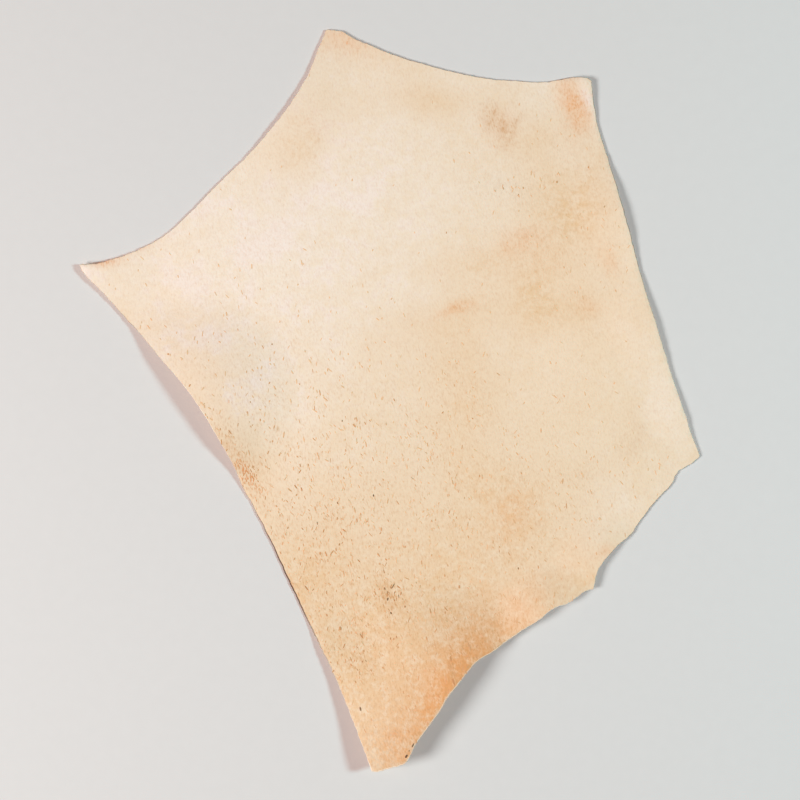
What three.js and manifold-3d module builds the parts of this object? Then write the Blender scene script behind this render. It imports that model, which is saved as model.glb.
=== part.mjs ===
// A natural leather hide: one cut piece of tanned skin that lies grain side up on a flat surface.
// Its edges are hand cut and wavy, its belly edge and tip curl up, and the middle lies flat.
// Millimetres, +Z up. The origin is on the surface, under the middle of the hide's bounding box.
// +Y points from the curled tip to the neck, and +X to the right as seen from above.

import * as THREE from 'three';
import { mergeVertices } from 'three/addons/utils/BufferGeometryUtils.js';
import Module from 'manifold-3d';

// Driving sizes
const thickness = 2.5; // of the tanned skin
const cellSize = 18; // spacing of the points that carry the sheet's rise and fall
const edgeStep = 7; // spacing of the points along the cut edge
const cutClearance = 20; // how far the uncut sheet reaches past the outline, and the cutter past the sheet

// Corners of the cut edge, clockwise from the neck
const corners = {
  neckLeft: { x: -68, y: 401 },
  neckRight: { x: -58, y: 400 },
  shoulder: { x: 219, y: 345 },
  flank: { x: 337, y: -62.5 },
  notch: { x: 221, y: -206 },
  tipRight: { x: 20.5, y: -388 },
  tipFoot: { x: 15.5, y: -393 },
  tipLeft: { x: -18.5, y: -400 },
  leg: { x: -335, y: 146 },
};

// Each stretch of the cut edge hollows in from the straight line between its two corners.
// Columns: the corner it leaves, the corner it reaches, and its hollows as pairs of the share of the way
// along the line and the depth there, which is under 0 where the edge stands proud of the line.
const stretches = [
  ['neckLeft', 'neckRight', [[0.5, -1]]],
  ['neckRight', 'shoulder', [
    [0.03, 0], [0.07, 5], [0.16, 10], [0.26, 15], [0.38, 18], [0.51, 20], [0.64, 19], [0.74, 15],
    [0.81, 12], [0.86, 8], [0.9, 4], [0.97, -2],
  ]],
  ['shoulder', 'flank', [
    [0.03, 2.2], [0.11, 6.4], [0.18, 5.8], [0.3, 5.4], [0.42, 5.8], [0.54, 6.8], [0.65, 5.6], [0.76, 5.1],
    [0.86, 3.6], [0.94, 2.2],
  ]],
  ['flank', 'notch', [
    [0.05, 1.6], [0.1, 4.6], [0.14, 8], [0.19, 7], [0.24, 4.8], [0.33, 6.6], [0.4, 7.4], [0.49, 6.6],
    [0.57, 6], [0.61, 5], [0.65, 6.8], [0.72, 9.6], [0.79, 10.6], [0.84, 11.2], [0.88, 10.2], [0.92, 8],
    [0.96, 4],
  ]],
  ['notch', 'tipRight', [
    [0.03, 5], [0.07, 6], [0.12, 8.7], [0.15, 13.5], [0.2, 16], [0.23, 15.4], [0.3, 18.6], [0.36, 20.6],
    [0.41, 22.5], [0.46, 24.3], [0.49, 26.3], [0.54, 29.1], [0.61, 27], [0.65, 25], [0.72, 22.2],
    [0.76, 18.3], [0.83, 14.2], [0.92, 9.2], [0.95, 6],
  ]],
  ['tipRight', 'tipFoot', []],
  ['tipFoot', 'tipLeft', [[0.6, -1], [0.85, -2]]],
  ['tipLeft', 'leg', [
    [0.05, 5.2], [0.13, 12.5], [0.2, 16.5], [0.3, 20.5], [0.42, 27.4], [0.5, 30.6], [0.53, 31.2],
    [0.57, 35.4], [0.62, 36.2], [0.67, 36.5], [0.73, 33], [0.78, 26.5], [0.83, 20.5], [0.88, 13.5],
    [0.94, 6], [0.98, -1],
  ]],
  ['leg', 'neckLeft', [
    [0.01, 4], [0.05, 15], [0.08, 21], [0.12, 28], [0.16, 33], [0.22, 39], [0.28, 42], [0.39, 41],
    [0.49, 40], [0.58, 40], [0.68, 37], [0.77, 32], [0.87, 22], [0.94, 10],
  ]],
];

// Places where the sheet leaves the surface. Each is a soft oval dome that the cut edge runs through.
// Its long half-axis is turned from +X, and the rise is the height of the underside at its middle.
const lifts = [
  { place: 'tip', x: -8, y: -408, turn: 100, long: 135, short: 95, rise: 19 },
  { place: 'tip left side', x: -63, y: -296, turn: 113, long: 70, short: 60, rise: 6 },
  { place: 'belly curl', x: 78, y: -328, turn: 47, long: 120, short: 155, rise: 27 },
  { place: 'belly ripple', x: 174, y: -236, turn: 40, long: 62, short: 60, rise: 12 },
  { place: 'notch', x: 232, y: -183, turn: 60, long: 62, short: 60, rise: 6 },
  { place: 'left edge', x: -222, y: -10, turn: 125, long: 122, short: 135, rise: 19.5 },
  { place: 'left edge low end', x: -188, y: -58, turn: 125, long: 48, short: 60, rise: 2.5 },
  { place: 'left edge high end', x: -273, y: 64, turn: 125, long: 60, short: 60, rise: 2 },
  { place: 'leg', x: -337, y: 149, turn: 130, long: 100, short: 90, rise: 5 },
  { place: 'bay', x: -118, y: 325, turn: 55, long: 100, short: 80, rise: 3 },
  { place: 'shoulder', x: 219, y: 347, turn: 100, long: 55, short: 50, rise: 4 },
  { place: 'right edge', x: 262, y: 205, turn: 105, long: 75, short: 70, rise: 5 },
  { place: 'lower right edge', x: 290, y: 80, turn: 106, long: 85, short: 60, rise: 3.2 },
  { place: 'flank', x: 318, y: -10, turn: 107, long: 50, short: 45, rise: 2.2 },
];

function cutOutline() {
  const outline = [];
  for (const [leaves, reaches, hollows] of stretches) {
    const start = new THREE.Vector2(corners[leaves].x, corners[leaves].y);
    const end = new THREE.Vector2(corners[reaches].x, corners[reaches].y);
    const line = end.clone().sub(start);
    const inward = new THREE.Vector2(line.y, -line.x).normalize();
    const knots = [start];
    for (const [share, depth] of hollows) {
      knots.push(start.clone().addScaledVector(line, share).addScaledVector(inward, depth));
    }
    knots.push(end);
    const curve = new THREE.SplineCurve(knots);
    const steps = Math.max(1, Math.round(curve.getLength() / edgeStep));
    outline.push(...curve.getSpacedPoints(steps).slice(0, steps));
  }
  return outline;
}

// Height of the underside above the surface
function riseAt(x, y) {
  let rise = 0;
  for (const lift of lifts) {
    const turn = THREE.MathUtils.degToRad(lift.turn);
    const dx = x - lift.x;
    const dy = y - lift.y;
    const along = (dx * Math.cos(turn) + dy * Math.sin(turn)) / lift.long;
    const across = (dy * Math.cos(turn) - dx * Math.sin(turn)) / lift.short;
    const reach = Math.min(1, along * along + across * across);
    rise += lift.rise * (1 - reach) ** 2;
  }
  return rise;
}

// The uncut sheet: a rectangle of cells over the outline's box, with its two faces one thickness apart
function uncutSheet(box) {
  const columns = Math.ceil((box.max.x - box.min.x + 2 * cutClearance) / cellSize);
  const rows = Math.ceil((box.max.y - box.min.y + 2 * cutClearance) / cellSize);
  const positions = [];
  for (const offset of [0, thickness]) {
    for (let row = 0; row <= rows; row++) {
      for (let column = 0; column <= columns; column++) {
        const x = box.min.x - cutClearance + column * cellSize;
        const y = box.min.y - cutClearance + row * cellSize;
        positions.push(x, y, riseAt(x, y) + offset);
      }
    }
  }
  const topStart = (columns + 1) * (rows + 1);
  const corner = (column, row) => row * (columns + 1) + column;
  const triangles = [];
  for (let row = 0; row < rows; row++) {
    for (let column = 0; column < columns; column++) {
      const a = corner(column, row);
      const b = corner(column + 1, row);
      const c = corner(column + 1, row + 1);
      const d = corner(column, row + 1);
      triangles.push(a, c, b, a, d, c);
      triangles.push(topStart + a, topStart + b, topStart + c, topStart + a, topStart + c, topStart + d);
    }
  }
  const rim = [];
  for (let column = 0; column < columns; column++) rim.push(corner(column, 0));
  for (let row = 0; row < rows; row++) rim.push(corner(columns, row));
  for (let column = columns; column > 0; column--) rim.push(corner(column, rows));
  for (let row = rows; row > 0; row--) rim.push(corner(0, row));
  rim.forEach((low, i) => {
    const next = rim[(i + 1) % rim.length];
    triangles.push(low, next, topStart + next, low, topStart + next, topStart + low);
  });
  const sheet = new THREE.BufferGeometry();
  sheet.setAttribute('position', new THREE.Float32BufferAttribute(positions, 3));
  sheet.setIndex(triangles);
  return sheet;
}

const wasm = await Module();
wasm.setup();

function toSolid(geometry) {
  const bare = geometry.clone();
  bare.deleteAttribute('normal');
  bare.deleteAttribute('uv');
  const merged = mergeVertices(bare);
  return new wasm.Manifold(new wasm.Mesh({
    numProp: 3,
    vertProperties: new Float32Array(merged.attributes.position.array),
    triVerts: new Uint32Array(merged.index.array),
  }));
}

function toGeometry(solid) {
  const mesh = solid.getMesh();
  const geometry = new THREE.BufferGeometry();
  geometry.setAttribute('position', new THREE.BufferAttribute(mesh.vertProperties, 3));
  geometry.setIndex(new THREE.BufferAttribute(mesh.triVerts, 1));
  return geometry;
}

function makeHide() {
  const outline = cutOutline();
  const box = new THREE.Box2().setFromPoints(outline);
  const sheet = uncutSheet(box);
  sheet.computeBoundingBox();
  const cutterHeight = sheet.boundingBox.max.z + 2 * cutClearance;
  const shape = new THREE.Shape(outline);
  const cutter = new THREE.ExtrudeGeometry(shape, { depth: cutterHeight, bevelEnabled: false });
  cutter.translate(0, 0, -cutClearance);
  const geometry = toGeometry(toSolid(sheet).intersect(toSolid(cutter)));
  const middle = box.getCenter(new THREE.Vector2());
  geometry.translate(-middle.x, -middle.y, 0);
  const flatShaded = geometry.toNonIndexed();
  flatShaded.computeVertexNormals();
  return flatShaded;
}

const leather = new THREE.MeshStandardMaterial({ color: 0xedd4b8, roughness: 0.62, metalness: 0 });
const hide = new THREE.Mesh(makeHide(), leather);
hide.name = 'hide';

const part = new THREE.Group();
part.add(hide);

export default part;
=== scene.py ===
# %% [markdown]
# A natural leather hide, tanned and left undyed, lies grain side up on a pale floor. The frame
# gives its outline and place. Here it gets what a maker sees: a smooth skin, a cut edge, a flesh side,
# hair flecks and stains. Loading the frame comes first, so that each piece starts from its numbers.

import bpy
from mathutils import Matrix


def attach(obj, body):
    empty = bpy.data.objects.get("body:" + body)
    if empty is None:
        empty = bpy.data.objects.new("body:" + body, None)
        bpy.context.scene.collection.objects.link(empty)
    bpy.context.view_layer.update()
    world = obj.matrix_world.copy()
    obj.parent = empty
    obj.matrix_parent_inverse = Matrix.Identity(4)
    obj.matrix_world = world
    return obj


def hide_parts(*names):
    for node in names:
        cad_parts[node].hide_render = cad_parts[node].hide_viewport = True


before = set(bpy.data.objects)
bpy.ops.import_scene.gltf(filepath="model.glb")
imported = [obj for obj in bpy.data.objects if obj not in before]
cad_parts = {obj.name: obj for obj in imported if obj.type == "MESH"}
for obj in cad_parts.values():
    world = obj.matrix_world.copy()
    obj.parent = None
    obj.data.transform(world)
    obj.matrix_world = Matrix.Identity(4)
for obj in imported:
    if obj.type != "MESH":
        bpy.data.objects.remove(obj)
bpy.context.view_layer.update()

# %% Other modules
import math

import bmesh
import bpy
import numpy as np
from mathutils import Matrix, Vector, geometry, kdtree, noise

MM = 0.001

# %% [markdown]
# The camera looks straight down from 1.83 m, where a square of floor 0.869 m wide fills the picture. A
# long lens far away would hide how raised places lean outwards, so the height matters as much as the
# width. The lens follows from both, and it needs no shift.

# %% Camera
# In metres, but for the sensor, whose width Blender counts in millimetres
CAMERA_HEIGHT = 1.83
VIEW_WIDTH = 0.8688
VIEW_MIDDLE = (0.0107, -0.0014)
SENSOR_WIDTH = 36

camera_data = bpy.data.cameras.new("camera")
camera_data.sensor_width = SENSOR_WIDTH
camera_data.lens = SENSOR_WIDTH * CAMERA_HEIGHT / VIEW_WIDTH
camera = bpy.data.objects.new("camera", camera_data)
camera.location = (*VIEW_MIDDLE, CAMERA_HEIGHT)
bpy.context.scene.collection.objects.link(camera)
bpy.context.scene.camera = camera
print("lens, mm:", round(camera_data.lens, 1))

# %% [markdown]
# A knife leaves a wavy edge with small nicks. The outline is read from the frame's solid: a copy of its
# mesh is merged, and the edges between its top and its wall are chained into one loop. The solid itself
# stays as it is. Reading the loop keeps the cut edge where the part has it.

# %% Outline of the solid
MERGE_DISTANCE = 1e-6

solid = bmesh.new()
solid.from_mesh(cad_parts["hide"].data)
bmesh.ops.remove_doubles(solid, verts=solid.verts, dist=MERGE_DISTANCE)
solid.normal_update()


def is_top(face):
    return face.normal.z > 0.5


neighbours = {}
for edge in solid.edges:
    if len(edge.link_faces) == 2 and is_top(edge.link_faces[0]) != is_top(edge.link_faces[1]):
        first, second = edge.verts
        neighbours.setdefault(first.index, []).append(second.index)
        neighbours.setdefault(second.index, []).append(first.index)
solid.verts.ensure_lookup_table()
start = next(iter(neighbours))
chain = [start, neighbours[start][0]]
while chain[-1] != start:
    one, other = neighbours[chain[-1]]
    chain.append(other if one == chain[-2] else one)
loop = np.array([solid.verts[i].co.xy[:] for i in chain])
solid.free()
print("points on the solid's outline:", len(loop) - 1)

# %% [markdown]
# The solid's outline has a point every few millimetres. A real edge needs more, so the loop is walked
# in steps of 2.2 mm and each point is moved a little in or out. Two noises do it: a slow one for the
# wander of the knife, and a fast one for torn fibres. Where the knife leaned, the grain's rim steps
# back as well, so that the slanted cut shows from above. All of it together stays under 3 mm.

# %% Cut edge
EDGE_STEP = 2.2 * MM
WANDER = 0.45 * MM
TEAR = 0.6 * MM
# The grain's rim lies this far inside the solid's outline, so that the cut can bulge out again
GRAIN_INSET = 0.3 * MM
# Where the knife leaned, so that the cut shows from above: middle x and y, turn of the long axis in
# degrees, the two half-axes, and how wide the slant is, all lengths in millimetres. Where two meet,
# the slant gets no wider than the value after them.
SLANTS = [
    (-110, -208, -64, 105, 30, 1.3),
    (66, -333, 51, 100, 35, 1.1),
    (-3, -402, 10, 30, 14, 0.9),
    (-325, 147, 0, 22, 8, 0.9),
    (256, 205, -75, 190, 30, 0.5),
]
WIDEST_SLANT = 1.4
# Lengths of the noises of the knife and of the fibres
WANDER_LENGTH = 21 * MM
TEAR_LENGTH = 4.3 * MM


def walked(points, step):
    """Points at even steps along a closed loop."""
    lengths = np.linalg.norm(np.diff(points, axis=0), axis=1)
    reached = np.concatenate([[0], np.cumsum(lengths)])
    stops = np.linspace(0, reached[-1], int(reached[-1] / step), endpoint=False)
    return np.stack([np.interp(stops, reached, points[:, axis]) for axis in (0, 1)], 1)


def sideways(points):
    """The direction out of a loop that runs anticlockwise, at each of its points."""
    along = np.roll(points, -1, axis=0) - np.roll(points, 1, axis=0)
    out = np.stack([along[:, 1], -along[:, 0]], 1)
    return out / np.linalg.norm(out, axis=1)[:, None]


def turned_left(points):
    x, y = points.T
    return np.sum(x * np.roll(y, -1) - y * np.roll(x, -1)) > 0


def oval(points, x, y, turn, long, short):
    """Square of the distance from an oval's middle, 1 on its rim. All sizes in millimetres."""
    angle = math.radians(turn)
    dx, dy = points[:, 0] / MM - x, points[:, 1] / MM - y
    along = (dx * math.cos(angle) + dy * math.sin(angle)) / long
    across = (dy * math.cos(angle) - dx * math.sin(angle)) / short
    return along**2 + across**2


def laid(points, patches):
    """The strength of a list of soft ovals at each point."""
    total = np.zeros(len(points))
    for x, y, turn, long, short, strength in patches:
        total += strength * np.exp(-oval(points, x, y, turn, long, short))
    return total


def ripple(x, y, wavelength, seed):
    """Smooth noise from -1 to 1."""
    return noise.noise(Vector((x / wavelength, y / wavelength, seed)))


edge_points = walked(loop, EDGE_STEP)
if not turned_left(edge_points):
    edge_points = edge_points[::-1]
slant = np.minimum(laid(edge_points, SLANTS), WIDEST_SLANT) * MM
moves = [
    WANDER * ripple(x, y, WANDER_LENGTH, 3.5) + TEAR * ripple(x, y, TEAR_LENGTH, 8.5) - GRAIN_INSET
    for x, y in edge_points
]
edge_points = edge_points + sideways(edge_points) * (np.array(moves) - slant)[:, None]
edge_count = len(edge_points)
print("points on the cut edge:", edge_count)

# %% [markdown]
# Cloth could be laid by simulation, but this skin is stiff and keeps its curl, so its surface is built
# point by point: a net of points 4 mm apart inside the outline, joined by the triangulation that the
# Fill Curve node uses too. Small triangles let the light roll smoothly over the curled places.

# %% Net of points inside the outline
NET_STEP = 4.0 * MM
NET_CLEARANCE = 2.4 * MM
# How far the net's first row lies above the lowest point, so that it meets the edge twice
FIRST_ROW = 0.1 * MM


def crossings(points, y):
    """Where a level line meets a closed loop, in order."""
    ends = np.roll(points, -1, axis=0)
    met = (points[:, 1] > y) != (ends[:, 1] > y)
    share = (y - points[met, 1]) / (ends[met, 1] - points[met, 1])
    return np.sort(points[met, 0] + share * (ends[met, 0] - points[met, 0]))


edge_tree = kdtree.KDTree(edge_count)
for i, (x, y) in enumerate(edge_points):
    edge_tree.insert((x, y, 0), i)
edge_tree.balance()

net = []
row_step = NET_STEP * math.sqrt(3) / 2
low, high = edge_points.min(0), edge_points.max(0)
for row in range(int((high[1] - low[1]) / row_step)):
    y = low[1] + row * row_step + FIRST_ROW
    met = crossings(edge_points, y)
    for left, right in zip(met[::2], met[1::2]):
        first = math.ceil(left / NET_STEP - 0.5 * (row % 2))
        last = math.floor(right / NET_STEP - 0.5 * (row % 2))
        for column in range(first, last + 1):
            x = (column + 0.5 * (row % 2)) * NET_STEP
            if edge_tree.find((x, y, 0))[2] > NET_CLEARANCE:
                net.append((x, y))
print("points inside:", len(net))

# %% Triangles of the grain side
# The triangulation's own number for leaving out what lies beyond the rim, and its smallest distance
INSIDE_ONLY = 1
SMALLEST_DISTANCE = 1e-7

flat_points = [Vector(p) for p in edge_points.tolist()] + [Vector(p) for p in net]
rim_edges = [(i, (i + 1) % edge_count) for i in range(edge_count)]
cut = geometry.delaunay_2d_cdt(flat_points, rim_edges, [], INSIDE_ONLY, SMALLEST_DISTANCE)
places = np.array([p[:] for p in cut[0]])
triangles = np.array(cut[2])
spans = places[triangles]
first_side, second_side = spans[:, 1] - spans[:, 0], spans[:, 2] - spans[:, 0]
turns = first_side[:, 0] * second_side[:, 1] - first_side[:, 1] * second_side[:, 0]
triangles[turns < 0] = triangles[turns < 0][:, ::-1]
flat_area = np.abs(turns).sum() / 2
print("triangles of the grain side:", len(triangles), "flat area, square metres:", round(flat_area, 4))

# %% [markdown]
# Tanned skin dries with a curl at thin places such as the belly edge and the tip. The heights follow
# the solid's soft domes, because its 18 mm cells would show as facets under side light. A slow swell
# of a few tenths of a millimetre is added, since no skin is dead flat, and never a dip into the floor.

# %% Heights
THICKNESS = 2.5 * MM
SWELL = 0.55 * MM
# Share, length and noise seed of the swell's two parts
SWELL_PARTS = [(0.7, 105 * MM, 1.5), (0.3, 38 * MM, 6.5)]
# The underside stays this far above the floor
FLOOR_GAP = 0.02 * MM

# Place, x, y, turn in degrees, half-axes and rise, in millimetres
LIFTS = [
    ("tip", -9, -408, 100, 135, 95, 19),
    ("tip left side", -64, -296, 113, 70, 60, 6),
    ("belly curl", 77, -328, 47, 120, 155, 27),
    ("belly ripple", 173, -236, 40, 62, 60, 12),
    ("notch", 231, -183, 60, 62, 60, 6),
    ("left edge", -223, -10, 125, 122, 135, 19.5),
    ("left edge low end", -189, -58, 125, 48, 60, 2.5),
    ("left edge high end", -274, 64, 125, 60, 60, 2),
    ("leg", -338, 149, 130, 100, 90, 5),
    ("bay", -119, 325, 55, 100, 80, 3),
    ("shoulder", 218, 347, 100, 55, 50, 3.2),
    ("right edge", 261, 205, 105, 75, 70, 5),
    ("lower right edge", 289, 80, 106, 85, 60, 3.2),
    ("flank", 317, -10, 107, 50, 45, 2.2),
]


def rippled(points, wavelength, seed):
    return np.array([ripple(x, y, wavelength, seed) for x, y in points])


heights = np.full(len(places), THICKNESS)
for _, x, y, turn, long, short, rise in LIFTS:
    heights += rise * MM * (1 - np.minimum(1, oval(places, x, y, turn, long, short))) ** 2
swell = sum(share * rippled(places, length, seed) for share, length, seed in SWELL_PARTS)
heights += SWELL * np.maximum(0, swell)
print("highest point, mm:", round(heights.max() / MM, 1))

# %% [markdown]
# The skin is closed: the flesh side is the grain side moved by the thickness against its normals, and
# five rows of faces join them round the edge. Solidify would make a straight wall. Rows given one by one
# let the knife's corner be a little round, let the middle of the cut bulge and fray, and let the wall
# slant.

# %% Closed skin
# How far out and how far down each row of the cut edge lies, and how much it frays, in millimetres;
# then its share of the slant
CUT_ROWS = [
    (0.3, 0.22, 0.08, 0.3),
    (0.55, 0.75, 0.25, 0.7),
    (0.5, 1.4, 0.3, 0.9),
    (0.45, 2.05, 0.25, 1.0),
]
FRAY_LENGTH = 1.7 * MM
# Edges that turn by more than this many degrees look sharp
SHARP_TURN = 33

net_normals = np.zeros((len(places), 3))
corners = np.column_stack([places, heights])
faces = corners[triangles]
crosses = np.cross(faces[:, 1] - faces[:, 0], faces[:, 2] - faces[:, 0])
for side in range(3):
    np.add.at(net_normals, triangles[:, side], crosses)
net_normals /= np.linalg.norm(net_normals, axis=1)[:, None]
flesh = corners - THICKNESS * net_normals
flesh[:, 2] = np.maximum(flesh[:, 2], FLOOR_GAP)

out = sideways(edge_points)
flesh[:edge_count, :2] += out * slant[:, None]
rows = [np.arange(edge_count)]
point_groups = [corners, flesh]
used = 2 * len(corners)
for outward, down, fray, slanted in CUT_ROWS:
    frays = fray * rippled(edge_points, FRAY_LENGTH, down)
    row = corners[:edge_count] - down * MM * net_normals[:edge_count]
    row[:, 2] = np.maximum(row[:, 2], FLOOR_GAP)
    row[:, :2] += out * ((outward + frays) * MM + slanted * slant)[:, None]
    point_groups.append(row)
    rows.append(np.arange(used, used + edge_count))
    used += edge_count
rows.append(np.arange(edge_count) + len(corners))
skin_points = np.concatenate(point_groups)

wall = []
for upper, lower in zip(rows, rows[1:]):
    for i in range(edge_count):
        j = (i + 1) % edge_count
        wall.append((upper[i], lower[i], lower[j], upper[j]))
grain_faces = triangles.tolist()
flesh_faces = (triangles[:, ::-1] + len(corners)).tolist()

skin_data = bpy.data.meshes.new("hide_skin")
skin_data.from_pydata(skin_points.tolist(), [], grain_faces + flesh_faces + wall)
slots = [0] * len(grain_faces) + [1] * len(flesh_faces) + [2] * len(wall)
skin_data.polygons.foreach_set("material_index", slots)
skin_data.polygons.foreach_set("use_smooth", [True] * len(slots))
skin_data.update()
skin_data.set_sharp_from_angle(angle=math.radians(SHARP_TURN))
skin = bpy.data.objects.new("hide_skin", skin_data)
bpy.context.scene.collection.objects.link(skin)
print("faces of the skin:", len(slots))

# %% [markdown]
# A picture map spreads the skin on a square, so that its finish can also be kept as an image. The
# grain side takes most of it, because it is what is looked at. The flesh side is squeezed beside it, and
# the cut edge lies in four thin strips.

# %% Map of the skin
# Shares of the map's side, but for the scale, which is per metre of skin
MAP_SCALE = 1.13
MARGIN = 0.01
FLESH_LEFT = 0.775
FLESH_SQUEEZE = 0.28
STRIPS = 4
STRIP_LEFT = 0.974
STRIP_WIDTH = 0.0055
STRIP_FILL = 0.8
STRIP_FOOT = 0.02
STRIP_LENGTH = 0.95

skin_map = skin_data.uv_layers.new(name="OFBake")
mapped = np.zeros((len(skin_data.loops), 2))
face_of = np.repeat(np.arange(len(slots)), [p.loop_total for p in skin_data.polygons])
vertex_of = np.array([corner.vertex_index for corner in skin_data.loops])
slot_of = np.array(slots)[face_of]
spot = skin_points[vertex_of][:, :2]
grain_part = slot_of == 0
mapped[grain_part] = MARGIN + (spot[grain_part] - low) * MAP_SCALE
flesh_part = slot_of == 1
mapped[flesh_part] = (spot[flesh_part] - low) * (FLESH_SQUEEZE, MAP_SCALE) + (FLESH_LEFT, MARGIN)
# Corners 1 and 2 of a wall's face lie on its lower row, and 2 and 3 at its next step
wall_face = (face_of - len(grain_faces) - len(flesh_faces))[slot_of == 2]
wall_corner = np.tile([0, 1, 2, 3], len(wall))
step_number = wall_face % edge_count + np.isin(wall_corner, (2, 3))
strip = (wall_face % edge_count) * STRIPS // edge_count
row_number = wall_face // edge_count + np.isin(wall_corner, (1, 2))
along = step_number * STRIPS / edge_count - strip
strip_x = STRIP_LEFT + (strip + row_number / len(rows) * STRIP_FILL) * STRIP_WIDTH
mapped[slot_of == 2] = np.column_stack([strip_x, STRIP_FOOT + STRIP_LENGTH * along])
skin_map.uv.foreach_set("vector", mapped.ravel())
print("map reaches", mapped.min(0).round(3), "to", mapped.max(0).round(3))

# %% [markdown]
# No two parts of a hide tan alike: the back stays cream and the belly goes tan, iron and water leave
# rust, orange and soil-brown stains. Each stain is one soft oval in a short table, laid with the
# strength of its middle. Some of the ovals are painted light: a warm bright tint, and some cream,
# brighten the curled slopes of the left edge and the belly, which face away from the lamps. The ovals
# are bent by noise so that none looks drawn, and kept as values on the skin's points. The soil of the
# edge is one of them: it darkens the cut where the skin lies on the floor, as soil and as painted
# contact shade.

# %% Table of the stains and of painted light
# Middle x and y, turn of the long axis in degrees, the two half-axes in millimetres, and strength
STAINS = {
    "cream": [
        (-136, 177, 27, 266, 179, 1.0),
        # Painted light: this oval and the one at x -160 brighten the curled left edge, whose slope faces
        # away from the left lamp
        (-200, 25, -55, 95, 50, 0.15),
        (299, -7, 105, 65, 30, 0.55),
        (241, -116, 40, 49, 27, 0.45),
        (171, 350, 0, 49, 20, 0.35),
        (-331, 139, -50, 11, 4, 1.4),
        (216, 322, 100, 34, 8, 0.55),
        # Painted light on the curled left edge, as above
        (-160, 35, -55, 65, 38, 0.17),
        (-115, 0, -55, 55, 35, 0.3),
        (215, 265, -75, 110, 55, 0.3),
    ],
    # A warm bright tint: painted light on the curled slopes of the left edge and the belly, which face
    # away from the lamps
    "blush": [
        (-190, 20, -55, 120, 62, 0.8),
        (98, -266, 48, 52, 28, 1.7),
        (200, 110, 80, 150, 90, 0.5),
    ],
    "tan": [
        (201, 199, 100, 98, 43, 0.2),
        (75, 10, 90, 75, 38, 0.4),
        (87, 107, 30, 119, 30, 0.3),
        (-165, -72, -60, 65, 30, 0.4),
        (11, -262, 30, 206, 130, 0.7),
        (130, -110, -30, 52, 39, 0.35),
        (-98, -192, 60, 65, 38, 0.4),
        # Darker and tanner over the raised tip
        (-14, -350, 70, 90, 50, 0.45),
        (-95, 285, 60, 60, 40, 0.4),
        (48, 328, -10, 46, 20, 0.4),
        (156, 278, 0, 30, 22, 0.3),
        (223, 257, -75, 40, 20, 0.25),
        (190, 210, 10, 46, 34, 0.5),
        (157, 115, 80, 32, 20, 0.45),
        (183, 98, 0, 40, 20, 0.4),
        (87, 150, 15, 46, 18, 0.4),
        (205, -193, 20, 26, 20, 0.35),
    ],
    "orange": [
        (85, -286, 48, 80, 42, 1.1),
        (66, -325, 51, 70, 26, 0.7),
        (6, -376, 60, 50, 32, 0.2),
        (18, -385, 55, 34, 16, 0.5),
        (-49, 387, -20, 46, 16, 0.5),
        (200, 318, 98, 30, 15, 1.1),
        (67, 99, 15, 22, 6, 0.6),
        (123, 296, -30, 22, 16, 0.4),
        (138, 174, 15, 26, 12, 0.5),
        (162, 152, 10, 34, 20, 0.13),
        (211, 103, 0, 13, 10, 0.35),
        (234, 152, -60, 15, 9, 0.4),
        (133, -130, 50, 30, 20, 0.4),
        (236, -160, 20, 13, 7, 0.4),
        (164, -201, 0, 12, 10, 0.1),
        (8, -358, 40, 14, 9, 0.4),
        (-185, -46, -58, 40, 9, 0.4),
        (-322, 147, -5, 24, 3.5, 1.0),
        (-281, 158, 20, 30, 5, 0.5),
    ],
    "rust": [
        (-155, -83, -57, 19, 6, 1.7),
        (-324, 149, -5, 22, 3, 1.2),
    ],
    "soil": [
        (114, 301, -60, 15, 11, 0.75),
        (131, 287, -60, 12, 9, 0.65),
        (141, 299, 50, 9, 5, 0.5),
        (1, -216, -60, 18, 12, 0.45),
        (-38, -282, 0, 16, 13, 0.2),
        (263, -47, 60, 22, 13, 0.35),
        (209, -82, 0, 20, 13, 0.25),
        (68, -302, -65, 12, 4, 1.2),
    ],
    "ash": [
        (125, 226, -10, 37, 12, 0.4),
        # Greys and darkens the raised tip
        (-8, -372, 70, 60, 40, 0.8),
    ],
    # Soil and painted contact shade: they darken the cut edge where the skin lies flat on the floor
    "edge_soil": [
        (-118, -192, -64, 115, 25, 1.3),
        (-225, 215, 40, 120, 40, 0.7),
        (-290, 70, -45, 60, 25, 0.8),
        (76, 357, -12, 160, 28, 0.6),
        (256, 205, -75, 190, 40, 0.8),
        (277, -121, 50, 95, 25, 0.8),
    ],
}
print("ovals of each stain:", {name: len(patches) for name, patches in STAINS.items()})


# %% Stains and painted light on the skin's points
def bent(points, wavelength, reach, seed):
    """The points moved about by noise."""
    moved_x = rippled(points, wavelength, seed)
    moved_y = rippled(points, wavelength, seed + 7)
    return points + reach * np.column_stack([moved_x, moved_y])


def keep_on_points(data, name, values):
    layer = data.attributes.new(name, "FLOAT", "POINT")
    layer.data.foreach_set("value", np.asarray(values, np.float32))


# A slow bend and a fast one: the noise's length, how far it moves a point, and its seed
SLOW_BEND = (60 * MM, 10 * MM, 20.5)
FAST_BEND = (17 * MM, 3.5 * MM, 40.5)

loose = bent(bent(skin_points[:, :2], *SLOW_BEND), *FAST_BEND)
for name, patches in STAINS.items():
    strength = laid(loose, patches)
    keep_on_points(skin_data, name, strength)
    print(name, "covers", round(float((strength[: len(places)] > 0.3).mean()), 3))

# %% [markdown]
# A shader is a sum, so it is written as one. The small class below holds one socket; adding or
# multiplying makes the Math node for it, and mixing two colours makes the Mix node. Every other node
# comes from one method, settings first. The same class builds the hair flecks' geometry nodes.

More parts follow.
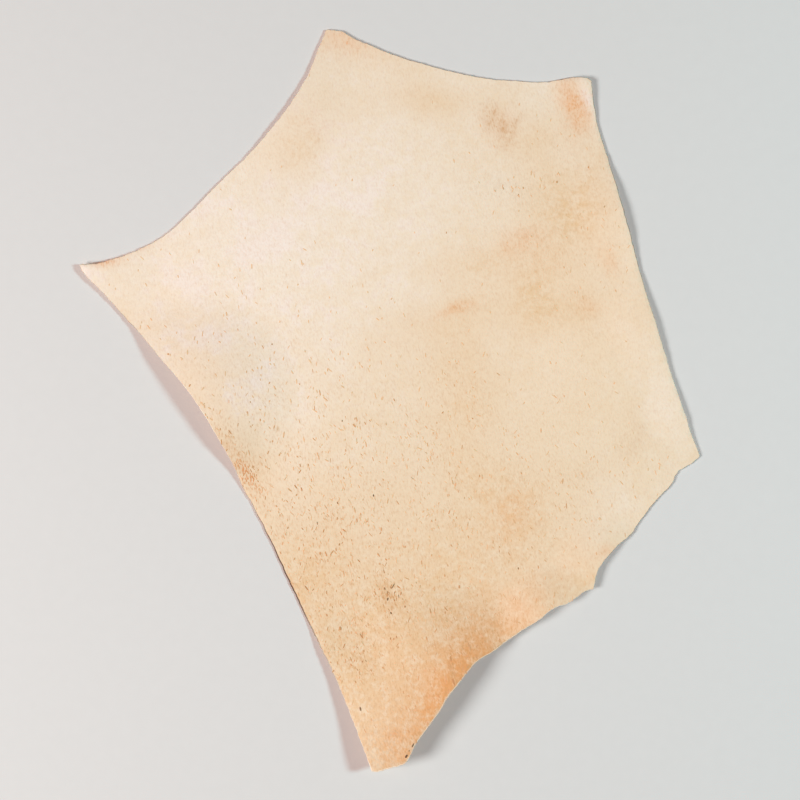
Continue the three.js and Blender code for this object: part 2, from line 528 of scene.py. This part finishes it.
# %% Sums on sockets
class Flow:
    """A value that nodes work out, held as the socket that gives it."""

    def __init__(self, tree, socket=None):
        self.tree = tree
        self.socket = socket

    def node(self, kind, settings=None, sockets=None, output=0):
        """Adds a node: its settings, then the values or links of its sockets."""
        made = self.tree.nodes.new(kind)
        for name, value in (settings or {}).items():
            setattr(made, name, value)
        for name, value in (sockets or {}).items():
            if isinstance(value, Flow):
                self.tree.links.new(value.socket, made.inputs[name])
            else:
                made.inputs[name].default_value = value
        return Flow(self.tree, made.outputs[output])

    def other(self, output):
        return Flow(self.tree, self.socket.node.outputs[output])

    def sum(self, operation, first, second):
        return self.node("ShaderNodeMath", {"operation": operation}, {0: first, 1: second})

    def __add__(self, more):
        return self.sum("ADD", self, more)

    def __sub__(self, less):
        return self.sum("SUBTRACT", self, less)

    def __rsub__(self, whole):
        return self.sum("SUBTRACT", whole, self)

    def __mul__(self, times):
        return self.sum("MULTIPLY", self, times)

    __radd__ = __add__
    __rmul__ = __mul__

    def between(self, low, high):
        """0 below low and 1 above high, with a soft step between."""
        settings = {"interpolation_type": "SMOOTHSTEP"}
        return self.node("ShaderNodeMapRange", settings, {0: self, 1: low, 2: high})

    def mixed(self, under, over):
        """Two colours mixed by this value."""
        return self.node("ShaderNodeMix", {"data_type": "RGBA"}, {0: self, 6: under, 7: over}, 2)


def srgb(red, green, blue):
    """A colour as it is read off a screen, made linear."""
    parts = [part / 255 for part in (red, green, blue)]
    return (*[((part + 0.055) / 1.055) ** 2.4 if part > 0.04045 else part / 12.92 for part in parts], 1)


def new_finish(name):
    material = bpy.data.materials.new(name)
    material.use_nodes = True
    flow = Flow(material.node_tree)
    return material, flow, flow.node("ShaderNodeTexCoord", output=3)


def painted(flow, name):
    """The strength that was kept on the points under this name."""
    return flow.node("ShaderNodeAttribute", {"attribute_name": name}, output=2)


def cloud(place, size, turn=0, seed=0, detail=2, roughness=0.5):
    """Noise from 0 to 1 whose lumps are about size metres each way, turned by degrees."""
    placed = place.node(
        "ShaderNodeMapping",
        {"vector_type": "TEXTURE"},
        {0: place, 1: (seed, seed, 0), 2: (0, 0, math.radians(turn)), 3: size},
    )
    sockets = {"Vector": placed, "Scale": 1, "Detail": detail, "Roughness": roughness}
    return place.node("ShaderNodeTexNoise", None, sockets)


def set_shader(material, flow, sockets):
    """Sets or links the sockets of a material's shader, and tells its nodes."""
    shader = material.node_tree.nodes["Principled BSDF"]
    for name, value in sockets.items():
        if isinstance(value, Flow):
            flow.tree.links.new(value.socket, shader.inputs[name])
        else:
            shader.inputs[name].default_value = value
    print(material.name, "is made of", len(material.node_tree.nodes), "nodes")


# %% [markdown]
# The grain side is smooth and matt. Its colour is peach, lightened to cream by the painted values,
# then stained. Part of the cream and the warm bright tint are painted light on curled slopes that face
# away from the lamps, and the palest pink on the cream is partly a painted sheen. Each stain is broken
# up by soft blotches and by fine noise that is longer than it is wide, because pores and hair roots lie
# along the growth of the coat. The bump is the fine pebble of the grain. The ovals and the noise
# together look less drawn than either would alone.

# %% Colours of the grain side
PEACH = srgb(236, 216, 188)
CREAM_AND_PAINTED_LIGHT = srgb(243, 231, 214)
# Palest pink cream, partly a painted sheen
PINK_CREAM_AND_SHEEN = srgb(244, 230, 222)
# Warm bright tint of the painted light on curled slopes
BLUSH_AND_PAINTED_LIGHT = srgb(250, 221, 189)
TAN = srgb(231, 198, 157)
ORANGE = srgb(230, 162, 100)
RUST = srgb(231, 154, 100)
SOIL = srgb(206, 160, 112)
ASH = srgb(196, 186, 170)
PORE = srgb(206, 158, 110)
# How much of each colour is laid at most
BLUSH_AND_LIGHT_COVER = 0.55
PINK_AND_SHEEN_COVER = 0.6
ORANGE_COVER = 0.62
RUST_COVER = 0.75
SOIL_COVER = 0.6
ASH_COVER = 0.5
GRIME_COVER = 0.24
# Lean of the coat's growth to the left, in degrees
COAT_LEAN = 12
# Flecks on a square metre at which the skin counts as hairy
FULL_COAT = 20000
PEBBLE = 1.3 * MM

# %% Noises of the grain side
grain, flow, place = new_finish("hide_grain")
broad = cloud(place, (46 * MM,) * 3, seed=1.3, detail=3)
blotch = cloud(place, (11 * MM,) * 3, seed=2.1, detail=4, roughness=0.65)
mottle = cloud(place, (4.5 * MM,) * 3, seed=10.4, detail=2, roughness=0.6)
pores = cloud(place, (1.6 * MM, 4.4 * MM, 2 * MM), COAT_LEAN, 3.7, detail=2, roughness=0.6)
fine = cloud(place, (2.2 * MM, 3.4 * MM, 2 * MM), COAT_LEAN, 4.9, detail=3, roughness=0.7)

# Soft patches from -0.8 to 0.8, and crisp ones from 0 to 1 that break the stains up
patchy = (blotch - 0.5) * 0.8 + (mottle - 0.5) * 0.8
islands = blotch.between(0.32, 0.68) * 0.6 + mottle.between(0.3, 0.7) * 0.4

# %% Stains and painted light of the grain side, from the palest to the pores
# Cream, part of which is painted light on the curled left edge
cream = painted(flow, "cream") + (broad - 0.5) * 0.5 + patchy + (fine - 0.5) * 0.4
colour = cream.mixed(PEACH, CREAM_AND_PAINTED_LIGHT)
# Painted light: a warm bright tint on curled slopes that face away from the lamps
colour = (painted(flow, "blush") * BLUSH_AND_LIGHT_COVER).mixed(colour, BLUSH_AND_PAINTED_LIGHT)
# Palest pink on the strongest cream, partly a painted sheen of the left lamp
pink_and_sheen = (cream - 0.55).between(0, 0.5) * (broad + blotch * 0.4).between(0.62, 0.85)
colour = (pink_and_sheen * PINK_AND_SHEEN_COVER).mixed(colour, PINK_CREAM_AND_SHEEN)
tan = painted(flow, "tan") * (islands * 1.8 + 0.1) + (0.5 - broad) * 0.3 - patchy * 0.5
colour = tan.mixed(colour, TAN)
dashes = pores.between(0.42, 0.68)
orange = painted(flow, "orange") * (0.35 + islands * 0.9 + dashes * 0.4)
colour = (orange * ORANGE_COVER).mixed(colour, ORANGE)
rust = painted(flow, "rust") * (dashes * 1.2 + fine * 0.3 - 0.2)
colour = (rust * RUST_COVER).mixed(colour, RUST)
soil = painted(flow, "soil") * (islands * 1.4 + dashes * 0.3)
colour = (soil * SOIL_COVER).mixed(colour, SOIL)
ash = painted(flow, "ash") * fine.between(0.35, 0.75)
colour = (ash * ASH_COVER).mixed(colour, ASH)
grime = (mottle * 0.45 + fine * 0.55).between(0.38, 0.74)
colour = (grime * GRIME_COVER).mixed(colour, PORE)
hairiness = painted(flow, "hairs") * (1 / FULL_COAT)
pore_depth = 0.18 + hairiness * 0.35 + tan * 0.1 + orange * 0.25 + soil * 0.4
pore = pores.between(0.46, 0.78) * pore_depth
colour = pore.mixed(colour, PORE)

# %% Pebble of the grain side
sockets = {"Vector": place, "Scale": 1 / PEBBLE}
pebble = flow.node("ShaderNodeTexVoronoi", {"feature": "SMOOTH_F1"}, sockets)
relief = pebble * -0.5 + fine * 0.5 + cloud(place, (6 * MM,) * 3, seed=5.2, detail=3) * 0.9
bump = flow.node("ShaderNodeBump", None, {"Strength": 0.5, "Distance": 0.22 * MM, "Height": relief})
roughness = 0.6 + blotch * 0.12 - pore * 0.1
set_shader(grain, flow, {"Base Color": colour, "Roughness": roughness, "Normal": bump, "IOR": 1.42})

# %% [markdown]
# The cut edge shows the skin's inside: pale fibres, rusty at the leg corner, and dark where the skin
# lies on the floor, with soil and with painted contact shade. The flesh side doesn't show, so it is a
# guess: a soft, matt nap, a little greyer than the grain. Both take their look from fine noise, because
# real fibres are far too many to model.

# %% Colours of the cut edge and the flesh side
FIBRE = srgb(255, 240, 220)
FIBRE_SHADE = srgb(226, 199, 165)
# Dark brown of the soil and of the painted contact shade on the cut edge
EDGE_SOIL_AND_CONTACT_SHADE = srgb(108, 82, 66)
NAP = srgb(226, 203, 173)
NAP_DARK = srgb(202, 170, 133)

# %% Cut edge's finish
cut_edge, flow, place = new_finish("hide_cut_edge")
strands = cloud(place, (1.1 * MM, 1.1 * MM, 0.35 * MM), seed=6.4, detail=3, roughness=0.65)
colour = strands.between(0.35, 0.75).mixed(FIBRE, FIBRE_SHADE)
colour = (painted(flow, "orange") * 0.2).mixed(colour, ORANGE)
# Soil and painted contact shade on the cut edge
colour = (painted(flow, "edge_soil") * (0.5 + strands * 0.6)).mixed(colour, EDGE_SOIL_AND_CONTACT_SHADE)
colour = (painted(flow, "rust") * 0.8).mixed(colour, RUST)
bump = flow.node("ShaderNodeBump", None, {"Strength": 0.8, "Distance": 0.35 * MM, "Height": strands})
set_shader(cut_edge, flow, {"Base Color": colour, "Roughness": 0.9, "Normal": bump, "IOR": 1.4})

# %% Flesh side's finish
flesh_side, flow, place = new_finish("hide_flesh_side")
nap = cloud(place, (0.9 * MM, 2.2 * MM, 1 * MM), -25, 7.7, detail=4, roughness=0.7)
scrape = cloud(place, (60 * MM, 14 * MM, 20 * MM), 20, 8.8, detail=4, roughness=0.6)
colour = (nap.between(0.3, 0.8) * 0.5 + scrape.between(0.35, 0.75) * 0.5).mixed(NAP, NAP_DARK)
bump = flow.node("ShaderNodeBump", None, {"Strength": 0.8, "Distance": 0.5 * MM, "Height": nap})
set_shader(flesh_side, flow, {"Base Color": colour, "Roughness": 0.92, "Normal": bump, "IOR": 1.4})
for material in (grain, flesh_side, cut_edge):
    skin_data.materials.append(material)

# %% [markdown]
# Short stubs of hair and dark hair roots stay in the grain as flecks a few millimetres long, thick on
# the left edge and the tip, rare on the back. They repeat thousands of times, so Geometry Nodes strew
# them: a spindle of sixteen triangles on each point, lying in the grain along the coat's growth.

# %% How many flecks, and where
# Ovals as in the table of stains; the strength is flecks on a square metre
HAIR_PATCHES = [
    (-87, -175, -65, 217, 103, 16000),
    (65, -56, -20, 163, 87, 8500),
    (206, 200, -75, 130, 65, 3500),
    (54, -219, 20, 152, 87, 9500),
]
HAIR_EVERYWHERE = 350
# Where flecks are darker, in the same way, from 0 to 1
DARK_HAIR = [
    (-151, -80, -60, 70, 40, 0.35),
    (-71, -170, -60, 90, 60, 0.2),
    (1, -213, -60, 20, 14, 0.8),
    (-38, -282, 0, 16, 13, 0.7),
    (125, 226, -10, 37, 12, 0.4),
]
# Tight groups of flecks, as flecks on a square metre
HAIR_GROUPS = [
    (1, -213, -60, 17, 12, 26000),
    (-38, -282, 0, 14, 12, 22000),
    (-154, -84, -57, 17, 6, 60000),
    (-144, -96, -60, 24, 10, 9000),
    (-174, -42, -57, 42, 9, 9000),
    (125, 226, -10, 32, 9, 8000),
]
# The coat is uneven: its flecks clump at this length
CLUMP_LENGTH = 13 * MM

clumps = 0.5 + 1.1 * np.maximum(0, 0.5 + rippled(skin_points[:, :2], CLUMP_LENGTH, 60.5))
strewn = (laid(loose, HAIR_PATCHES) + HAIR_EVERYWHERE) * clumps + laid(loose, HAIR_GROUPS)
keep_on_points(skin_data, "hairs", strewn)
keep_on_points(skin_data, "dark", laid(loose, DARK_HAIR))
print("flecks expected:", int(strewn[: len(places)].mean() * flat_area))

# %% [markdown]
# A few dozen marks stand out one by one: dark hair roots, a scratch, specks of rust. Chance can't put
# them in their place, so a table does. They get the same spindle as the strewn flecks, because they
# are the same thing, only larger and darker.

# %% Single marks
# Marks that stand out: x, y, length and width in millimetres, lean to the left in degrees, darkness,
# and how rusty they are
MARKS = [
    (-196, 61, 2.6, 2.0, 0, 0.3, 1.0),
    (-128, 59, 2.2, 1.5, 0, 0.6, 0.0),
    (25, -87, 8.5, 0.6, 50, 0.65, 0.0),
    (-18, -105, 3.0, 1.7, 10, 0.85, 0.0),
    (-57, -113, 3.0, 1.5, 15, 0.75, 0.0),
    (-79, -135, 3.8, 1.2, 10, 0.75, 0.0),
    (-36, -132, 5.0, 1.4, 10, 0.5, 0.5),
    (-55, -158, 3.2, 1.6, -20, 0.6, 0.0),
    (-82, -10, 6.0, 1.0, 5, 0.4, 0.3),
    (-52, -24, 2.8, 1.4, 0, 0.7, 0.0),
    (-22, -24, 3.0, 1.0, 35, 0.55, 0.0),
    (57, -15, 3.4, 1.4, -40, 0.55, 0.3),
    (-96, -98, 5.0, 1.6, 20, 0.6, 0.3),
    (-69, -210, 4.4, 1.2, 0, 0.55, 0.2),
    (-54, -249, 4.4, 3.0, 0, 0.45, 0.3),
    (7, -257, 3.8, 1.7, 10, 0.75, 0.3),
    (1, -232, 3.0, 2.0, 30, 0.8, 0.0),
    (-31, -257, 7.5, 1.2, 35, 0.55, 0.0),
    (-32, -334, 5.0, 1.5, 15, 0.85, 0.2),
    (-16, -352, 5.0, 1.1, 35, 0.5, 0.3),
    (68, -303, 9.0, 2.6, 20, 0.55, 0.7),
    (-6, -206, 3.4, 1.6, 20, 0.7, 0.0),
    (1, -205, 3.0, 1.6, 10, 0.75, 0.0),
    (5, -210, 4.0, 1.4, -15, 0.75, 0.0),
    (-3, -217, 2.6, 1.4, 0, 0.7, 0.0),
    (16, -225, 2.6, 1.4, 0, 0.55, 0.0),
    (-37, -279, 3.2, 1.5, 0, 0.75, 0.0),
    (-40, -285, 2.4, 1.4, 0, 0.7, 0.0),
    (-30, -284, 2.4, 1.2, 0, 0.6, 0.0),
    (-20, -345, 5.0, 1.2, 10, 0.45, 0.4),
    (95, -213, 5.0, 1.5, -5, 0.45, 0.7),
    (75, -204, 3.8, 2.0, 0, 0.35, 0.4),
    (139, -184, 2.8, 1.6, 10, 0.7, 0.0),
    (24.5, -371, 6.0, 2.2, -25, 0.9, 0.0),
    (20.5, -377, 3.0, 1.8, 0, 0.7, 0.0),
    (17.5, -383, 4.6, 2.4, -30, 0.9, 0.0),
    (123, 228, 2.8, 1.3, 10, 0.5, 0.0),
    (139, 221, 3.0, 1.2, -30, 0.55, 0.0),
    (181, 235, 3.2, 2.2, 0, 0.4, 0.2),
    (215, 251, 2.6, 1.8, 0, 0.4, 0.0),
    (232, 208, 3.0, 1.6, -30, 0.45, 0.0),
    (61, 180, 2.6, 1.2, 0, 0.45, 0.0),
    (-298, 134, 4.0, 0.8, 20, 0.35, 0.4),
    (-239, 48, 2.4, 2.0, 0, 0.2, 0.8),
]


# %% Points of the single marks
def surface_under(x, y):
    """The height and the normal of the grain side's nearest point."""
    nearest = np.argmin((places[:, 0] - x) ** 2 + (places[:, 1] - y) ** 2)
    return corners[nearest, 2], net_normals[nearest]


mark_data = bpy.data.meshes.new("marks")
found = [surface_under(x * MM, y * MM) for x, y, *_ in MARKS]
spots = [(x * MM, y * MM, height) for (x, y, *_), (height, _) in zip(MARKS, found)]
mark_data.from_pydata(spots, [], [])
for column, name in enumerate(("length", "width", "lean", "tone", "rust"), start=2):
    values = np.array([mark[column] for mark in MARKS])
    if name in ("length", "width"):
        values = values * MM
    if name == "lean":
        values = np.radians(values)
    keep_on_points(mark_data, name, values)
up = mark_data.attributes.new("up", "FLOAT_VECTOR", "POINT")
up.data.foreach_set("vector", np.array([normal for _, normal in found], np.float32).ravel())
mark_points = bpy.data.objects.new("marks", mark_data)
bpy.context.scene.collection.objects.link(mark_points)
print("single marks:", len(MARKS))

# %% [markdown]
# The tree's sizes are inputs with names, so that a coarser or a finer coat needs no new nodes. The tree
# strews points on the grain by the density kept on the skin, and gives each point a length, a width, a
# lean and a tone by chance from a fixed seed. The single marks bring their own. One spindle stands for
# each point, and at the end all of them become one mesh.

# %% Inputs of the tree that strews the flecks
fleck_tree = bpy.data.node_groups.new("strewn_flecks", "GeometryNodeTree")
fleck_inputs = {}
for name, kind in [
    ("Skin", "NodeSocketGeometry"),
    ("Marks", "NodeSocketObject"),
    ("Shortest", "NodeSocketFloat"),
    ("Longest", "NodeSocketFloat"),
    ("Thinnest", "NodeSocketFloat"),
    ("Thickest", "NodeSocketFloat"),
    ("Lean", "NodeSocketFloat"),
    ("Spread", "NodeSocketFloat"),
    ("Seed", "NodeSocketInt"),
    ("Skin Finish", "NodeSocketMaterial"),
    ("Fleck Finish", "NodeSocketMaterial"),
]:
    socket = fleck_tree.interface.new_socket(name, in_out="INPUT", socket_type=kind)
    fleck_inputs[name] = socket.identifier
fleck_tree.interface.new_socket("Flecks", in_out="OUTPUT", socket_type="NodeSocketGeometry")
print("inputs of the tree:", ", ".join(fleck_inputs))

# %% Helpers for the tree
flow = Flow(fleck_tree)
given = flow.node("NodeGroupInput")


def named(name, data_type="FLOAT"):
    settings = {"data_type": data_type}
    return flow.node("GeometryNodeInputNamedAttribute", settings, {"Name": name})


def chance(low, high, seed):
    """A random number for each point."""
    sockets = {2: low, 3: high, 8: given.other("Seed") + seed}
    return flow.node("FunctionNodeRandomValue", {"data_type": "FLOAT"}, sockets, 1)


def stored(points, name, value, data_type="FLOAT"):
    settings = {"data_type": data_type, "domain": "POINT"}
    sockets = {"Geometry": points, "Name": name, "Value": value}
    return flow.node("GeometryNodeStoreNamedAttribute", settings, sockets)


# %% Points of the strewn flecks
# Where the coat is thicker its flecks are darker, up to this many on a square metre
DENSE_COAT = 15000

on_grain = flow.node("GeometryNodeMaterialSelection", None, {0: given.other("Skin Finish")})
sockets = {
    "Mesh": given.other("Skin"),
    "Selection": on_grain,
    "Density": named("hairs"),
    "Seed": given.other("Seed"),
}
points = flow.node("GeometryNodeDistributePointsOnFaces", {"distribute_method": "RANDOM"}, sockets)
points = stored(points, "up", points.other("Normal"), "FLOAT_VECTOR")
often_low = chance(0, 1, 1) * chance(0, 1, 2)
length = given.other("Shortest") + (given.other("Longest") - given.other("Shortest")) * often_low
points = stored(points, "length", length)
width = given.other("Thinnest") + (given.other("Thickest") - given.other("Thinnest")) * chance(0, 1, 3)
points = stored(points, "width", width)
lean = given.other("Lean") + given.other("Spread") * (chance(-1, 1, 4) + chance(-1, 1, 5))
points = stored(points, "lean", lean)
darkest = 0.22 + named("hairs").between(0, DENSE_COAT) * 0.4
tone = chance(0, 1, 6) * chance(0, 1, 7) * darkest + named("dark") * chance(0, 0.8, 8)
points = stored(points, "tone", tone)

# %% Spindles on all the points
sockets = {"Object": given.other("Marks")}
marks = flow.node("GeometryNodeObjectInfo", {"transform_space": "ORIGINAL"}, sockets).other("Geometry")
marks = flow.node("GeometryNodeMeshToPoints", None, {"Mesh": marks})
both = flow.node("GeometryNodeJoinGeometry", None, {0: points})
fleck_tree.links.new(marks.socket, both.socket.node.inputs[0])

ball = flow.node("GeometryNodeMeshUVSphere", None, {"Segments": 4, "Rings": 3, "Radius": 0.5})
spindle = flow.node("GeometryNodeTransform", None, {"Geometry": ball, "Rotation": (math.pi / 2, 0, 0)})
upright = flow.node("ShaderNodeCombineXYZ", None, {"Z": named("lean")})
sockets = {"Rotation": upright, "Factor": 1, "Vector": named("up", "FLOAT_VECTOR")}
lying = flow.node("FunctionNodeAlignRotationToVector", {"axis": "Z"}, sockets)
size = flow.node(
    "ShaderNodeCombineXYZ", None, {"X": named("width"), "Y": named("length"), "Z": named("width") * 0.3}
)
sockets = {"Points": both, "Instance": spindle, "Rotation": lying, "Scale": size}
flecks_out = flow.node("GeometryNodeInstanceOnPoints", None, sockets)
flecks_out = flow.node("GeometryNodeRealizeInstances", None, {"Geometry": flecks_out})
sockets = {"Geometry": flecks_out, "Material": given.other("Fleck Finish")}
flecks_out = flow.node("GeometryNodeSetMaterial", None, sockets)
ending = fleck_tree.nodes.new("NodeGroupOutput")
fleck_tree.links.new(flecks_out.socket, ending.inputs[0])
print("nodes of the tree:", len(fleck_tree.nodes))

# %% [markdown]
# Hair stubs run from pale straw to dark brown, and take up rust where the skin has it. The tone kept on
# each point picks the colour, so one finish does for all. What the tree makes is then turned into a
# plain mesh, because instances would be lost when the model is written out.

# %% Finish of the flecks
FLECK_PALE = srgb(231, 191, 148)
FLECK_BROWN = srgb(202, 147, 97)
FLECK_DARK = srgb(98, 71, 47)
FLECK_RUST = srgb(218, 148, 96)

fleck_finish, flow, _ = new_finish("hair_flecks")
tone = painted(flow, "tone")
colour = tone.between(0.0, 0.55).mixed(FLECK_PALE, FLECK_BROWN)
colour = tone.between(0.45, 1.0).mixed(colour, FLECK_DARK)
rusty = painted(flow, "rust") * 0.6 + painted(flow, "orange") * 0.4
colour = rusty.mixed(colour, FLECK_RUST)
set_shader(fleck_finish, flow, {"Base Color": colour, "Roughness": 0.7, "IOR": 1.4})

# %% Flecks
FLECK_SETTINGS = {
    "Marks": mark_points,
    "Shortest": 2.8 * MM,
    "Longest": 8.5 * MM,
    "Thinnest": 0.8 * MM,
    "Thickest": 1.7 * MM,
    "Lean": math.radians(COAT_LEAN),
    "Spread": math.radians(30),
    "Seed": 5,
    "Skin Finish": grain,
    "Fleck Finish": fleck_finish,
}


def made_plain(name, start_data, tree, settings, identifiers):
    """An object that holds what a tree makes of a mesh, as a plain mesh with no modifier."""
    made = bpy.data.objects.new(name, start_data)
    bpy.context.scene.collection.objects.link(made)
    strewer = made.modifiers.new(name, "NODES")
    strewer.node_group = tree
    for setting, value in settings.items():
        strewer[identifiers[setting]] = value
    graph = bpy.context.evaluated_depsgraph_get()
    plain = bpy.data.meshes.new_from_object(
        made.evaluated_get(graph), preserve_all_data_layers=True, depsgraph=graph
    )
    made.modifiers.remove(strewer)
    made.data = plain
    plain.name = name
    return made


flecks = made_plain("hair_flecks", skin_data, fleck_tree, FLECK_SETTINGS, fleck_inputs)
bpy.data.objects.remove(mark_points)
print("faces of the flecks:", len(flecks.data.polygons))

# %% [markdown]
# The room is plain: a pale floor, two soft lamps low at the sides and a small reddish one overhead.
# The left lamp is white and the right one cool, so the shadow on the left is pink and the one on the
# right grey. The overhead lamp fills both, and a faint sky lifts them. Each lamp's power comes from how
# bright it should make the floor.

# %% Sizes and colours of the room
FLOOR_SIZE = 8
FLOOR_GREY = (0.69, 0.683, 0.668, 1)
FLOOR_CLOUD = 14 * MM
FLOOR_SHADE = 0.96
LAMP_DISTANCE = 4.0
SKY = (0.03, 0.035, 0.035)
# Where each lamp stands and how high, both in degrees, how wide it is in metres, and how bright it
# makes a white floor
LAMPS = [
    ("left_lamp", 195, 37, 1.5, (0.545, 0.56, 0.56)),
    ("right_lamp", 2, 39, 0.75, (0.25, 0.40, 0.43)),
    ("top_lamp", 0, 90, 0.5, (0.23, 0.055, 0.02)),
]

# %% Floor
half = FLOOR_SIZE / 2
floor_data = bpy.data.meshes.new("floor")
floor_corners = [(-half, -half, 0), (half, -half, 0), (half, half, 0), (-half, half, 0)]
floor_data.from_pydata(floor_corners, [], [(0, 1, 2, 3)])
floor = bpy.data.objects.new("floor", floor_data)
bpy.context.scene.collection.objects.link(floor)
floor_finish, flow, place = new_finish("floor")
floor_clouds = cloud(place, (FLOOR_CLOUD,) * 3, seed=9.1, detail=4, roughness=0.6)
shade = tuple(part * FLOOR_SHADE for part in FLOOR_GREY[:3]) + (1,)
floor_colour = floor_clouds.mixed(FLOOR_GREY, shade)
set_shader(floor_finish, flow, {"Base Color": floor_colour, "Roughness": 0.9})
floor_data.materials.append(floor_finish)

# %% Lamps and sky
for name, turn, height, width, brightness in LAMPS:
    flat, steep = math.radians(turn), math.radians(height)
    direction = Vector(
        (math.cos(flat) * math.cos(steep), math.sin(flat) * math.cos(steep), math.sin(steep))
    )
    strongest = max(brightness)
    lamp_data = bpy.data.lights.new(name, "AREA")
    lamp_data.shape = "DISK"
    lamp_data.size = width
    lamp_data.energy = strongest * math.pi**2 * LAMP_DISTANCE**2 / math.sin(steep)
    lamp_data.color = [part / strongest for part in brightness]
    lamp = bpy.data.objects.new(name, lamp_data)
    lamp.matrix_world = Matrix.Translation(direction * LAMP_DISTANCE) @ (
        direction.to_track_quat("Z", "Y").to_matrix().to_4x4()
    )
    bpy.context.scene.collection.objects.link(lamp)
    print(name, "power, W:", round(lamp_data.energy))

sky = bpy.data.worlds.new("sky")
sky.use_nodes = True
sky.node_tree.nodes["Background"].inputs["Color"].default_value = (*SKY, 1)
bpy.context.scene.world = sky
bpy.context.scene.view_settings.view_transform = "Standard"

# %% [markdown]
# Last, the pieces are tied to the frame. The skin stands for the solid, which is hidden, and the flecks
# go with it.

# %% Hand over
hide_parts("hide")
for piece in (skin, flecks):
    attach(piece, "root")
